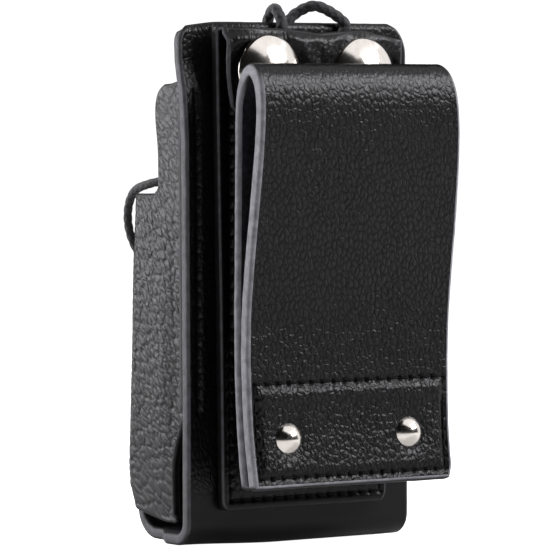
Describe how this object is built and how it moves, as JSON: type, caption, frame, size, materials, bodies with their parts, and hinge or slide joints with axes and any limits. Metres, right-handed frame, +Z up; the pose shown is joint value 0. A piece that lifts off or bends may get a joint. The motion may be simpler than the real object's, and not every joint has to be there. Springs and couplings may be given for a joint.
{
  "type": "leather radio case",
  "caption": "Stitched leather carrying case with open radio cavity, elastic retaining cord, riveted yoke and a belt loop that opens on press snaps.",
  "frame": {"origin": "centre of the flat underside that the case stands on", "axes": "+Z up, -Y is the side the radio faces, +Y is the side worn against the belt"},
  "size_m": [0.068, 0.0648, 0.1397],
  "materials": {
    "leather": "pebbled, satin",
    "nickel": "polished",
    "elastic_cord": "braided",
    "thread": "waxed"
  },
  "bodies": {
    "case": {"back_strap": "leather", "front_wrap": "leather", "backing_panel": "leather", "yoke_tab": "leather", "loop_packing": "leather", "belt_loop_inner_leaf": "leather", "belt_loop_fold": "leather", "snap_studs": "nickel", "snap_posts": "nickel", "rivet_caps": "nickel", "rivet_posts": "nickel", "rivet_washers": "nickel", "cord_pocket_run": "elastic_cord", "cord_side_runs": "elastic_cord", "cord_end_knots": "elastic_cord", "stitching_side_seams": "thread", "stitching_backing_panel": "thread", "stitching_loop_anchor": "thread", "stitching_front_tab": "thread"},
    "loop_flap": {"belt_loop_outer_leaf": "leather", "flap_reinforcement": "leather", "snap_caps": "nickel", "snap_sockets": "nickel", "stitching_flap_patch": "thread"},
    "cord": {"cord_top_loops": "elastic_cord"}
  },
  "joints": [
    {"name": "loop_open", "type": "hinge", "parent": "case", "child": "loop_flap", "pos_m": [-0.003, 0.03185, 0.12135], "axis": [1, 0, 0], "range_deg": [0, 90], "deforming": ["belt_loop_fold"]},
    {"name": "cord_stretch", "type": "slide", "parent": "case", "child": "cord", "axis": [0, 0, 1], "range_m": [0, 0.025]}
  ]
}
